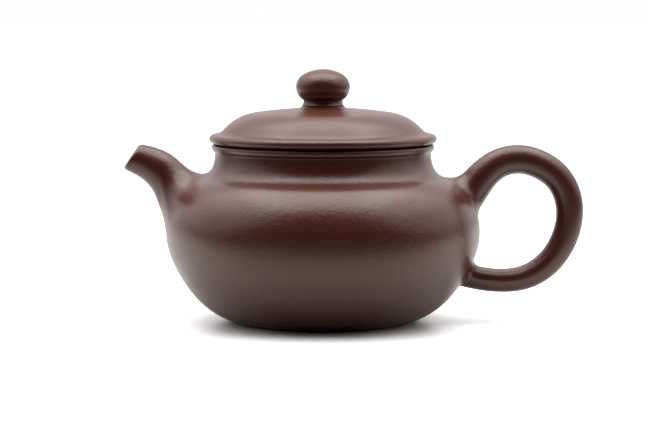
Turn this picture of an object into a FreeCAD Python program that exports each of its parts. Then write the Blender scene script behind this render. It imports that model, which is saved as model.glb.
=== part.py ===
import FreeCAD, Part
import math
import os

os.makedirs("parts", exist_ok=True)
Vec = FreeCAD.Vector
ORIGIN = Vec(0, 0, 0)
UP = Vec(0, 0, 1)
TOUCHING = 1e-3

# Driving dimensions in millimetres. Z rises from the table, the spout points to -X
# and the handle to +X, and every turned piece shares the Z axis.
BELLY_RADIUS = 50.0
BELLY_HEIGHT = 29.0
WALL = 3.0

# The turned outline is a run of tangent arcs, each (radius, turn in degrees).
BELLY_ABOVE = (18.69, 31.0)
SHOULDER = (18.69, 23.9)
SHOULDER_TOP = (12.4, 16.4)
NECK_ROOT = (6.2, -55.3)
NECK = (13.7, -16.0)
BELLY_BELOW = (22.6, -21.06)
FLANK = (42.55, -19.53)
BOTTOM = (26.4, -20.0)

BASE_INNER_RADIUS = 19.4
REST_INNER = 21.5
DISH_DEPTH = 0.8

SEAT_HEIGHT = 56.6
MOUTH_BEAD_RADIUS = 35.42
MOUTH_BEAD_LOWER = 1.9
MOUTH_BEAD_UPPER = 0.8
MOUTH_CHAMFER = 0.4

LID_TOP = 68.17
LID_WALL = 3.2
LID_CROWN = (152.5, -8.2)
LID_EDGE = (16.4, -40.45)
LID_SWEEP = (4.27, 46.4)
LID_BEAD_UPPER = 1.48
LID_SLOT_RADIUS = 33.4
LID_SLOT_HEIGHT = 0.4
LID_LEDGE = 58.4
FLANGE_GAP = 0.3
FLANGE_DEPTH = 8.0
FLANGE_ROUND = 0.8

KNOB_TOP = 80.34
KNOB_CROWN = (12.45, -29.7)
KNOB_CHEEK = (4.79, -60.3)
KNOB_UNDER = (4.69, -57.4)
KNOB_THROAT = (0.5, 57.4)
KNOB_FLARE = (2.27, 80.0)
COLLAR_HEIGHT = 0.8
COLLAR_EDGE = 0.15
VENT_RADIUS = 1.1
VENT_BEVEL = 0.3

# Path stations (x, z, radius) of the limbs, from inside the wall outward.
HANDLE_STATIONS = (
    (41.0, 33.0, 6.2), (48.1, 43.1, 5.4), (51.7, 47.3, 4.95), (56.5, 50.6, 4.7),
    (62.2, 51.7, 4.62), (69.5, 49.8, 4.58), (75.2, 45.3, 4.5), (78.65, 34.5, 4.35),
    (76.75, 25.9, 4.2), (70.6, 17.4, 4.05), (63.9, 13.8, 3.88), (57.0, 12.95, 3.75),
    (48.6, 13.9, 3.75), (42.0, 15.5, 3.75),
)
HANDLE_UPPER_FILLET = 4.2
HANDLE_LOWER_FILLET = 3.2

SPOUT_STATIONS = (
    (-40.0, 31.0, 8.0), (-45.0, 38.3, 7.3), (-48.4, 44.5, 6.5),
    (-52.4, 48.78, 5.97), (-57.3, 51.26, 5.14), (-65.5, 53.55, 4.25),
)
SPOUT_BORE = (
    (-38.5, 35.0, 5.6), (-44.2, 38.8, 5.1), (-48.8, 44.3, 4.6),
    (-52.7, 48.6, 4.25), (-57.3, 51.4, 3.6), (-66.0, 53.9, 2.8),
)
SPOUT_FILLET = 5.0
SPOUT_LIP_HIGH = (-58.3, 56.65)
SPOUT_LIP_LOW = (-63.9, 49.35)
SPOUT_LIP_OUTER_ROUND = 0.6
SPOUT_LIP_INNER_ROUND = 0.4

STRAINER_CENTRE = (-44.4, 39.0)
STRAINER_TILT = -20.0
STRAINER_RADIUS = 9.0
STRAINER_WALL = 1.5
STRAINER_HOLE_RADIUS = 0.9
STRAINER_RINGS = ((0.0, 1), (20.0, 6), (40.0, 12), (60.0, 18))


def at(radius, height):
    """Point of a turned section in the XZ plane."""
    return Vec(radius, 0, height)


def direction(degrees):
    """Unit vector in the XZ plane, turned from +X towards +Z."""
    angle = math.radians(degrees)
    return Vec(math.cos(angle), 0, math.sin(angle))


def arc_run(start, heading, arcs, inset=0.0, side=1):
    """Tangent arcs from a start point; inset shifts the run to its left (side 1) or right (-1)."""
    point = start + direction(heading + 90 * side) * inset
    edges = []
    for radius, turn in arcs:
        bend = math.copysign(1, turn)
        reach = radius - bend * side * inset
        centre = point + direction(heading + 90 * bend) * reach
        middle = centre - direction(heading + turn / 2 + 90 * bend) * reach
        heading += turn
        end = centre - direction(heading + 90 * bend) * reach
        edges.append(Part.Arc(point, middle, end).toShape())
        point = end
    return edges, point, heading


def polyline(*points):
    """Straight edges through the points in turn."""
    return [Part.makeLine(a, b) for a, b in zip(points, points[1:])]


def turned(edges):
    """Solid of revolution of a closed section; its seam lies on the far side, clear of the limbs."""
    face = Part.Face(Part.Wire(Part.__sortEdges__(edges)))
    face.rotate(ORIGIN, UP, 90)
    return face.revolve(ORIGIN, UP, 360)


def band(start, heading, arcs, side):
    """Turned wall of even thickness under a run of arcs, with square ends."""
    outer, outer_end, _ = arc_run(start, heading, arcs)
    inner, inner_end, _ = arc_run(start, heading, arcs, WALL, side)
    first = start + direction(heading + 90 * side) * WALL
    return turned(outer + inner + polyline(start, first) + polyline(outer_end, inner_end))


def limb(stations):
    """Round tapering limb lofted through circles square to a spline path."""
    points = [Vec(x, 0, z) for x, z, _ in stations]
    path = Part.BSplineCurve()
    path.interpolate(points)
    rings = []
    for point, (_, _, radius) in zip(points, stations):
        along = path.tangent(path.parameter(point))[0]
        rings.append(Part.Wire([Part.Circle(point, along, radius).toShape()]))
    return Part.makeLoft(rings, True)


def hoops(shape):
    """Full-circle edges of a turned shape."""
    return [edge for edge in shape.Edges if edge.Closed and isinstance(edge.Curve, Part.Circle)]


def joint_edges(shape, seam, keep):
    """Edges of a fused shape that lie on the seam curves and pass the keep test."""
    found = []
    for edge in shape.Edges:
        middle = edge.valueAt((edge.FirstParameter + edge.LastParameter) / 2)
        on_seam = seam.distToShape(Part.Vertex(middle))[0] < TOUCHING
        if on_seam and keep(middle):
            found.append(edge)
    return found


def rooted(form, shape, radius, keep):
    """Limb with a soft root: fused to the pot's form, filleted where kept, then freed from it."""
    seam = form.section(shape)
    fused = form.fuse(shape)
    soft = fused.makeFillet(radius, joint_edges(fused, seam, keep))
    return soft.cut(form).Solids[0]


# Turned outline: runs upward and downward from the widest point of the belly.
BELLY = at(BELLY_RADIUS, BELLY_HEIGHT)
above, shoulder_foot, shoulder_heading = arc_run(BELLY, 90, [BELLY_ABOVE])
_, neck_foot, neck_heading = arc_run(shoulder_foot, shoulder_heading, [SHOULDER, SHOULDER_TOP])
stem, neck_top, _ = arc_run(neck_foot, neck_heading, [NECK_ROOT, NECK])
below, base_edge, base_heading = arc_run(BELLY, -90, [BELLY_BELOW, FLANK, BOTTOM])
NECK_RADIUS = neck_top.x
MOUTH_BORE = NECK_RADIUS - WALL

# The bottom arc runs on to the table plane.
bottom_centre = base_edge + direction(base_heading - 90) * BOTTOM[0]
foot_point = at(bottom_centre.x + math.sqrt(BOTTOM[0] ** 2 - bottom_centre.z ** 2), 0)

# The mouth bead starts where its lower round meets the neck.
BEAD_HEIGHT = SEAT_HEIGHT - MOUTH_BEAD_UPPER
bead_reach = NECK_RADIUS - (MOUTH_BEAD_RADIUS - MOUTH_BEAD_LOWER)
NECK_END = BEAD_HEIGHT - math.sqrt(MOUTH_BEAD_LOWER ** 2 - bead_reach ** 2)


def pot_form(inset=0.0):
    """Solid the pot's outside encloses, or its cavity when inset by the wall."""
    rise, top, _ = arc_run(BELLY, 90, [BELLY_ABOVE, SHOULDER, SHOULDER_TOP, NECK_ROOT, NECK], inset, 1)
    fall, low, _ = arc_run(BELLY, -90, [BELLY_BELOW, FLANK, BOTTOM], inset, -1)
    rim = at(top.x, NECK_END)
    closing = polyline(top, rim, at(0, rim.z), at(0, low.z), low)
    return turned(rise + fall + closing)


def base_disc():
    """Floor: rounded outside up to the wall, a flat rest ring and a pressed-in centre."""
    inner_edge = base_edge + direction(base_heading - 90) * WALL
    rest_of_turn = -180 - base_heading
    floor, floor_end, _ = arc_run(inner_edge, base_heading, [(BASE_INNER_RADIUS, rest_of_turn)])
    under = polyline(foot_point, at(REST_INNER, 0), at(REST_INNER - DISH_DEPTH, DISH_DEPTH),
                     at(0, DISH_DEPTH), at(0, floor_end.z), floor_end)
    return turned(foot_to_table() + floor + under + polyline(base_edge, inner_edge))


def foot_to_table():
    """Outside of the base from the wall's lower edge down to the table plane."""
    halfway = (base_edge - bottom_centre) + (foot_point - bottom_centre)
    middle = bottom_centre + halfway.normalize() * BOTTOM[0]
    return [Part.Arc(base_edge, middle, foot_point).toShape()]


def body_wall():
    """Belly wall from the base joint up to the foot of the shoulder."""
    inner_up, inner_top, _ = arc_run(BELLY, 90, [BELLY_ABOVE], WALL, 1)
    inner_down, inner_low, _ = arc_run(BELLY, -90, [BELLY_BELOW, FLANK, BOTTOM], WALL, -1)
    ends = polyline(shoulder_foot, inner_top) + polyline(base_edge, inner_low)
    return turned(above + below + inner_up + inner_down + ends)


def neck():
    """Waisted collar between shoulder and mouth."""
    inner, inner_top, _ = arc_run(neck_foot, neck_heading, [NECK_ROOT, NECK], WALL, 1)
    first = neck_foot + direction(neck_heading + 90) * WALL
    rim = polyline(neck_top, at(NECK_RADIUS, NECK_END), at(MOUTH_BORE, NECK_END), inner_top)
    return turned(stem + inner + rim + polyline(neck_foot, first))


def mouth_rim():
    """Half-round bead round the mouth with the flat lid seat on top."""
    lower = MOUTH_BEAD_RADIUS - MOUTH_BEAD_LOWER
    start = at(NECK_RADIUS, NECK_END)
    swing = math.degrees(math.asin((BEAD_HEIGHT - NECK_END) / MOUTH_BEAD_LOWER))
    crest = at(MOUTH_BEAD_RADIUS, BEAD_HEIGHT)
    halfway = at(lower, BEAD_HEIGHT) + direction(-swing / 2) * MOUTH_BEAD_LOWER
    under = Part.Arc(start, halfway, crest).toShape()
    over_bead, seat_edge, _ = arc_run(crest, 90, [(MOUTH_BEAD_UPPER, 90)])
    inside = polyline(seat_edge, at(MOUTH_BORE + MOUTH_CHAMFER, SEAT_HEIGHT),
                      at(MOUTH_BORE, SEAT_HEIGHT - MOUTH_CHAMFER), at(MOUTH_BORE, NECK_END), start)
    return turned([under] + over_bead + inside)


def spout(form, bore):
    """Hollow one-bend spout with a soft root and an oblique, rounded lip."""
    high = at(*SPOUT_LIP_HIGH)
    low = at(*SPOUT_LIP_LOW)
    middle = (high + low) * 0.5
    outward = Vec(low.z - high.z, 0, high.x - low.x).normalize()
    beyond = Part.makeCylinder(BELLY_RADIUS / 2, BELLY_RADIUS / 2, middle, outward)
    shape = rooted(form, limb(SPOUT_STATIONS), SPOUT_FILLET, lambda point: True)
    shape = shape.cut(beyond).cut(bore).Solids[0]
    lip = min(shape.Faces, key=lambda face: middle.distanceToPoint(face.CenterOfMass))
    inner = min(lip.Wires, key=lambda wire: wire.Length)
    shape = shape.makeFillet(SPOUT_LIP_INNER_ROUND, inner.Edges)
    lip = min(shape.Faces, key=lambda face: middle.distanceToPoint(face.CenterOfMass))
    outer = max(lip.Wires, key=lambda wire: wire.Length)
    return shape.makeFillet(SPOUT_LIP_OUTER_ROUND, outer.Edges)


def strainer(cavity):
    """Perforated half ball behind the spout's opening, its rim on the inside of the wall."""
    centre = at(*STRAINER_CENTRE)
    shell = Part.makeSphere(STRAINER_RADIUS, centre)
    shell = shell.cut(Part.makeSphere(STRAINER_RADIUS - STRAINER_WALL, centre))
    start = centre + Vec(STRAINER_RADIUS - 2 * STRAINER_WALL, 0, 0)
    holes = []
    for tilt, count in STRAINER_RINGS:
        for index in range(count):
            hole = Part.makeCylinder(STRAINER_HOLE_RADIUS, 3 * STRAINER_WALL, start, Vec(1, 0, 0))
            hole.rotate(centre, Vec(0, 1, 0), tilt)
            hole.rotate(centre, Vec(1, 0, 0), 360.0 * index / count)
            hole.rotate(centre, Vec(0, 1, 0), -STRAINER_TILT)
            holes.append(hole)
    return shell.common(cavity).cut(Part.makeCompound(holes)).Solids[0]


def handle(form):
    """Round ear handle: a wide soft root at the shoulder, a tighter one low on the belly."""
    ear = limb(HANDLE_STATIONS)
    upper = rooted(form, ear, HANDLE_UPPER_FILLET, lambda point: point.z > BELLY_HEIGHT)
    lower = rooted(form, ear, HANDLE_LOWER_FILLET, lambda point: point.z < BELLY_HEIGHT)
    low_half = Part.makeCylinder(2 * BELLY_RADIUS, BELLY_HEIGHT, ORIGIN, UP)
    return upper.cut(low_half).fuse(lower.common(low_half)).removeSplitter().Solids[0]


# Lid outline: from the crown on the axis out and down to the rim bead.
CROWN = at(0, LID_TOP)
LID_ARCS = [LID_CROWN, LID_EDGE]
dome, dome_foot, dome_heading = arc_run(CROWN, 0, LID_ARCS)
sweep, bead_top, bead_heading = arc_run(dome_foot, dome_heading, [LID_SWEEP])
bead, bead_crest, _ = arc_run(bead_top, bead_heading, [(LID_BEAD_UPPER, -90 - bead_heading)])
SLOT_TOP = SEAT_HEIGHT + LID_SLOT_HEIGHT
under_bead, slot_edge, _ = arc_run(bead_crest, -90, [(bead_crest.z - SLOT_TOP, -90)])
inside_dome, inside_foot, _ = arc_run(CROWN, 0, LID_ARCS, LID_WALL, -1)
FLANGE_RADIUS = MOUTH_BORE - FLANGE_GAP


def vent():
    """Space of the air hole down the axis through knob, collar and lid, bevelled at its top."""
    wide = VENT_RADIUS + 2 * VENT_BEVEL
    return turned(polyline(ORIGIN, at(VENT_RADIUS, 0), at(VENT_RADIUS, KNOB_TOP - VENT_BEVEL),
                           at(wide, KNOB_TOP + VENT_BEVEL), at(0, KNOB_TOP + VENT_BEVEL), ORIGIN))


def lid_dome():
    """Low dome of the lid, hollow below, with a thick edge over the rim ring."""
    edge = polyline(bead_top, at(bead_top.x, LID_LEDGE), at(inside_foot.x, LID_LEDGE), inside_foot)
    axis = polyline(at(0, LID_TOP - LID_WALL), CROWN)
    return turned(dome + sweep + edge + inside_dome + axis).cut(vent())


def lid_rim():
    """Bead round the lid, flat where it sits on the mouth and set back in a fine slot outside that."""
    ring = polyline(slot_edge, at(LID_SLOT_RADIUS, SLOT_TOP), at(LID_SLOT_RADIUS, SEAT_HEIGHT),
                    at(FLANGE_RADIUS, SEAT_HEIGHT), at(FLANGE_RADIUS, LID_LEDGE),
                    at(bead_top.x, LID_LEDGE), bead_top)
    return turned(bead + under_bead + ring)


def lid_flange():
    """Locating wall that drops inside the mouth, rounded at its lower edge."""
    low = SEAT_HEIGHT - FLANGE_DEPTH
    ring = turned(polyline(at(inside_foot.x, low), at(FLANGE_RADIUS, low), at(FLANGE_RADIUS, LID_LEDGE),
                           at(inside_foot.x, LID_LEDGE), at(inside_foot.x, low)))
    rims = [edge for edge in hoops(ring) if edge.valueAt(0).z < low + FLANGE_ROUND]
    return ring.makeFillet(FLANGE_ROUND, rims)


# Knob outline: from its top out over the cheek, in to the throat and out to the collar's foot.
KNOB_CREST = at(0, KNOB_TOP)
KNOB_ARCS = [KNOB_CROWN, KNOB_CHEEK, KNOB_UNDER, KNOB_THROAT, KNOB_FLARE]
knob_edges, collar_foot, _ = arc_run(KNOB_CREST, 0, KNOB_ARCS)
COLLAR_TOP = collar_foot.z + COLLAR_HEIGHT


def knob_form():
    """Solid of the knob and collar outline down to the lid's crown."""
    base = polyline(collar_foot, at(0, collar_foot.z), KNOB_CREST)
    return turned(knob_edges + base).cut(vent())


def knob_collar(form, dome_shape):
    """Flared seat of the knob, its foot following the lid's crown, with a fine bevelled top edge."""
    ring = form.common(Part.makeCylinder(BELLY_RADIUS, COLLAR_TOP, ORIGIN, UP)).cut(dome_shape)
    rim = max(hoops(ring), key=lambda edge: edge.valueAt(0).z + edge.valueAt(0).Length / BELLY_RADIUS)
    return ring.makeChamfer(COLLAR_EDGE, [rim]).Solids[0]


def knob(form):
    """Rounded button above the collar."""
    return form.cut(Part.makeCylinder(BELLY_RADIUS, COLLAR_TOP, ORIGIN, UP)).Solids[0]


def build():
    """All pieces by node name, each a separate solid in its place on the pot."""
    form = pot_form()
    bore = limb(SPOUT_BORE)
    dome_shape = lid_dome()
    knob_shape = knob_form()
    shoulder = band(shoulder_foot, shoulder_heading, [SHOULDER, SHOULDER_TOP], 1)
    return {
        "base_disc": base_disc(),
        "body_wall": body_wall().cut(bore),
        "shoulder": shoulder.cut(bore),
        "neck": neck(),
        "mouth_rim": mouth_rim(),
        "spout": spout(form, bore),
        "strainer": strainer(pot_form(WALL)),
        "handle": handle(form),
        "lid_dome": dome_shape,
        "lid_rim": lid_rim(),
        "lid_flange": lid_flange(),
        "knob_collar": knob_collar(knob_shape, dome_shape),
        "knob": knob(knob_shape),
    }


for node, solid in build().items():
    solid.exportStep("parts/" + node + ".step")
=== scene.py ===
"""Looks of a low rounded clay teapot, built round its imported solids.

The turned pieces are numpy surfaces of revolution whose outlines are runs of tangent arcs. Spout and
handle are round limbs along splines, with soft roots on the pot's wall. The strainer keeps its solid.
All wear the same burnished clay. A piece's own sizes are millimetres, and everything else is metres.
"""

import logging
import math
from dataclasses import dataclass, field
from enum import Enum
from typing import ClassVar

import bmesh
import bpy
import numpy as np
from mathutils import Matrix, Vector

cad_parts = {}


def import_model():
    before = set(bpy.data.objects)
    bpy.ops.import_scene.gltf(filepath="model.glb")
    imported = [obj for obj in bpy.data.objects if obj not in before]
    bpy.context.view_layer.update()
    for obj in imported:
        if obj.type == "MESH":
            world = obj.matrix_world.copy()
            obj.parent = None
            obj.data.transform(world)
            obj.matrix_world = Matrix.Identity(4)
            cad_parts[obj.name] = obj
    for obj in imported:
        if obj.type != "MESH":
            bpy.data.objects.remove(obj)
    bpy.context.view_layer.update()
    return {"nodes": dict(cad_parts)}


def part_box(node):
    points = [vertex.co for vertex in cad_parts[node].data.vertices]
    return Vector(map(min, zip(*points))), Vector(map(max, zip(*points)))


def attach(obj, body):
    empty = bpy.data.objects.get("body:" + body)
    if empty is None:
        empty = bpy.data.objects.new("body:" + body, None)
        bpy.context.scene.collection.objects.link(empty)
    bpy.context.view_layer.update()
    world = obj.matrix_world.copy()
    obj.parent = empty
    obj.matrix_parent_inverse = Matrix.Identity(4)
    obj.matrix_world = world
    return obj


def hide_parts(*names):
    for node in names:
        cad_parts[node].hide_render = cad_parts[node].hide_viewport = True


Points = np.ndarray
Pair = tuple[float, float]
Triple = tuple[float, float, float]
Material = bpy.types.Material
Mesh = bpy.types.Mesh
Socket = bpy.types.NodeSocket
Tree = bpy.types.NodeTree
Source = Socket | float | tuple[float, ...]
Feeds = dict[str | int, Source]

LOG = logging.getLogger("teapot")
UNIT = (0.0, 1.0)
WHITE = (1.0, 1.0, 1.0, 1.0)
STRAIGHT_BACK = (0.0, 1.0, 0.0)
NO_TIPS = np.empty((0, 3))
NO_FANS = np.empty((0, 3), int)


class Body(str, Enum):
    """Rigid bodies of the frame that pieces ride on."""

    POT = "pot"
    LID = "lid"


class Ease(str, Enum):
    """Ways of a shader to go from one level to another."""

    STRAIGHT = "LINEAR"
    SMOOTH = "SMOOTHSTEP"


@dataclass(frozen=True)
class Arc:
    """One tangent arc of an outline.

    Args:
        radius: Radius in millimetres at the frame's own size.
        turn: Change of heading in degrees, positive to the left.
    """

    radius: float
    turn: float

    def mirrored(self) -> "Arc":
        """Turns the same arc the other way."""
        return Arc(self.radius, -self.turn)


@dataclass
class Outline:
    """Profile of a turned piece, drawn like a pen moving from point to point.

    The pen holds a place (radius, height) in millimetres and a heading in degrees from outward to up.
    Arcs are sampled evenly by angle and length, and straight runs by length, so the mesh is finest
    where the outline bends most.

    Args:
        place: First point as (radius, height).
        heading: First heading in degrees.
        spacing: Longest step between points in millimetres.
        finest_turn: Longest step round an arc in degrees.
    """

    place: Pair
    heading: float = 0.0
    spacing: float = 1.1
    finest_turn: float = 9.0
    points: list[Points] = field(default_factory=list)
    rounds: list[tuple[Points, float]] = field(default_factory=list)

    def __post_init__(self) -> None:
        """Puts the first point on the outline."""
        self.points.append(np.array([self.place], float))

    def arcs(self, *runs: Arc) -> "Outline":
        """Adds tangent arcs: each point is the arc's centre plus the radius swung through the turn.

        Args:
            runs: Arcs in order.

        Returns:
            The outline, for chaining.
        """
        for run in runs:
            start, sweep = math.radians(self.heading), math.radians(run.turn)
            by_angle = math.ceil(abs(run.turn) / self.finest_turn)
            count = max(2, by_angle, math.ceil(run.radius * abs(sweep) / self.spacing))
            reach = math.copysign(run.radius, run.turn)
            centre = np.array(self.place) + reach * np.array([-math.sin(start), math.cos(start)])
            angles = start + sweep * np.arange(1, count + 1) / count
            swung = centre - reach * np.column_stack([-np.sin(angles), np.cos(angles)])
            self.rounds.append((centre, reach))
            self.follow(swung, self.heading + run.turn)
        return self

    def line(self, radius: float, height: float) -> "Outline":
        """Adds a straight run to a point and heads along it.

        Args:
            radius: End radius in millimetres.
            height: End height in millimetres.

        Returns:
            The outline, for chaining.
        """
        here = np.array(self.place)
        way = np.array([radius, height]) - here
        count = max(1, math.ceil(float(np.linalg.norm(way)) / self.spacing))
        steps = np.arange(1, count + 1)[:, None] / count
        self.follow(here + way * steps, math.degrees(math.atan2(way[1], way[0])))
        self.place = (radius, height)
        return self

    def rounded(self, corner: Pair, beyond: Pair, radius: float) -> "Outline":
        """Adds a straight run that turns a corner through a tangent arc.

        Args:
            corner: Sharp corner as (radius, height).
            beyond: Any point on the run after the corner.
            radius: Radius of the round in millimetres.

        Returns:
            The outline, for chaining.
        """
        tip = np.array(corner)
        into = tip - np.array(self.place)
        out = np.array(beyond) - tip
        first = math.degrees(math.atan2(into[1], into[0]))
        turn = (math.degrees(math.atan2(out[1], out[0])) - first + 180.0) % 360.0 - 180.0
        back = radius * math.tan(math.radians(abs(turn)) / 2)
        start = tip - into / np.linalg.norm(into) * back
        self.line(float(start[0]), float(start[1]))
        return self.arcs(Arc(radius, turn))

    def follow(self, path: Points, heading: float) -> "Outline":
        """Adds points worked out elsewhere.

        Args:
            path: Points as rows of (radius, height) in millimetres.
            heading: Heading at the last point in degrees.

        Returns:
            The outline, for chaining.
        """
        self.points.append(path)
        self.place = (float(path[-1, 0]), float(path[-1, 1]))
        self.heading = heading
        return self

    def profile(self) -> Points:
        """Joins the runs to rows of (radius, height) in millimetres."""
        return np.vstack(self.points)


@dataclass(frozen=True)
class HandRelief:
    """Slight unevenness that beating and scraping by hand leave on clay.

    Height is smooth lattice noise over angle and length: random values on a coarse grid, periodic
    round the piece, joined by a cosine ease. A slow swell and a finer scrape are added.

    Args:
        swell: Depth of the slow unevenness in millimetres.
        scrape: Depth of the scraper's finer ripples in millimetres.
        seed: Start of the random lattice.
        swells: Cells of the slow unevenness along the piece and round it.
        scrapes: Cells of the finer ripples along the piece and round it.
    """

    swell: float = 0.07
    scrape: float = 0.012
    seed: int = 5
    swells: tuple[int, int] = (14, 11)
    scrapes: tuple[int, int] = (70, 24)

    @staticmethod
    def lattice(along: Points, turns: Points, cells: tuple[int, int], rng: np.random.Generator) -> Points:
        """Samples one layer of periodic lattice noise.

        Args:
            along: Places along the piece from 0 to 1, one per row of the grid.
            turns: Shares of a whole turn round it, one per column.
            cells: Lattice cells along the piece and round it.
            rng: Source of the random values.

        Returns:
            Noise from -1 to 1 on the grid of rows and columns.
        """
        rows, columns = cells
        values = rng.uniform(-1.0, 1.0, (rows + 2, columns))
        row, column = along * rows, turns * columns
        r0, c0 = np.floor(row).astype(int), np.floor(column).astype(int) % columns
        ease_r = 0.5 - 0.5 * np.cos(np.pi * (row - np.floor(row)))[:, None]
        ease_c = 0.5 - 0.5 * np.cos(np.pi * (column - np.floor(column)))[None, :]
        c1 = (c0 + 1) % columns
        low = values[r0][:, c0] * (1 - ease_c) + values[r0][:, c1] * ease_c
        high = values[r0 + 1][:, c0] * (1 - ease_c) + values[r0 + 1][:, c1] * ease_c
        return low * (1 - ease_r) + high * ease_r

    def height(self, along: Points, turns: Points) -> Points:
        """Adds swell and scrape.

        Args:
            along: Places along the piece from 0 to 1, one per row.
            turns: Shares of a whole turn round it, one per column.

        Returns:
            Height in millimetres on the grid.
        """
        rng = np.random.default_rng(self.seed)
        swell = self.lattice(along, turns, self.swells, rng)
        scrape = self.lattice(along, turns, self.scrapes, rng)
        return self.swell * swell + self.scrape * scrape


def feed(tree: Tree, target: bpy.types.Node, feeds: Feeds) -> None:
    """Links or sets inputs of a node.

    Args:
        tree: Tree of a material or of the world.
        target: Node to feed.
        feeds: Sockets to link and values to set, by the name or number of the input.
    """
    for name, source in feeds.items():
        if isinstance(source, Socket):
            tree.links.new(source, target.inputs[name])
        else:
            target.inputs[name].default_value = source


def node(tree: Tree, kind: str, feeds: Feeds, **choices: str) -> bpy.types.NodeOutputs:
    """Adds a node.

    Args:
        tree: Tree of a material or of the world.
        kind: Kind of node, without the prefix that all kinds share.
        feeds: Sockets to link and values to set, by the name or number of the input.
        choices: Settings of the node, such as its operation.

    Returns:
        The node's outputs.
    """
    made = tree.nodes.new(f"ShaderNode{kind}")
    for name, choice in choices.items():
        setattr(made, name, choice)
    feed(tree, made, feeds)
    return made.outputs


def noise(tree: Tree, place: Socket, cells: float, octaves: float) -> Socket:
    """Adds a noise texture with so many cells per metre."""
    return node(tree, "TexNoise", {"Vector": place, "Scale": cells, "Detail": octaves})["Fac"]


def arithmetic(tree: Tree, operation: str, first: Socket, second: Socket | float) -> Socket:
    """Joins two values by a math operation."""
    return node(tree, "Math", {0: first, 1: second}, operation=operation)[0]


def blend(tree: Tree, mask: Socket, first: Source, second: Source) -> Socket:
    """Mixes two colours, the first where the mask is 0 and the second where it is 1."""
    return node(tree, "Mix", {"Factor": mask, "A": first, "B": second}, data_type="RGBA")["Result"]


def remap(
    tree: Tree, value: Socket, span: Pair, levels: tuple[Source, Source], ease: Ease = Ease.STRAIGHT
) -> Socket:
    """Carries a span of values over to two levels, and holds those levels beyond it.

    Args:
        tree: Tree of a material or of the world.
        value: Value that drives the level.
        span: Values at the start and at the end.
        levels: Levels at the start and at the end.
        ease: Way from one level to the other.

    Returns:
        The level's socket.
    """
    inputs = ("Value", "From Min", "From Max", "To Min", "To Max")
    feeds = dict(zip(inputs, (value, *span, *levels)))
    return node(tree, "MapRange", feeds, interpolation_type=ease.value)["Result"]


def by_ray(tree: Tree, seen: Source, mirrored: Source, carried: Source) -> Socket:
    """Gives the stage a level for each kind of ray.

    Args:
        tree: Tree of a stage material or of the world.
        seen: Level for camera rays.
        mirrored: Level for glossy and transmission rays.
        carried: Level for the rays that only carry light.

    Returns:
        The level's socket.
    """
    path = node(tree, "LightPath", {})
    mirror = arithmetic(tree, "MAXIMUM", path["Is Glossy Ray"], path["Is Transmission Ray"])
    unseen = remap(tree, mirror, UNIT, (carried, mirrored))
    return remap(tree, path["Is Camera Ray"], UNIT, (unseen, seen))


@dataclass(frozen=True)
class SkinRelief:
    """Relief too fine for the mesh: a noise used as bump.

    Args:
        cells: Cells of the noise per metre.
        depth: Depth of the relief in metres.
        strength: Strength of the bump.
        octaves: Octaves of the noise.
    """

    cells: float
    depth: float
    strength: float
    octaves: float = 2.0

    def over(self, tree: Tree, place: Socket, below: Feeds) -> Socket:
        """Adds the relief.

        Args:
            tree: Material tree.
            place: Coordinate socket.
            below: Normal of the layer below, or nothing.

        Returns:
            The normal socket.
        """
        height = noise(tree, place, self.cells, self.octaves)
        feeds = {"Strength": self.strength, "Distance": self.depth, "Height": height, **below}
        return node(tree, "Bump", feeds)["Normal"]


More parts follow.
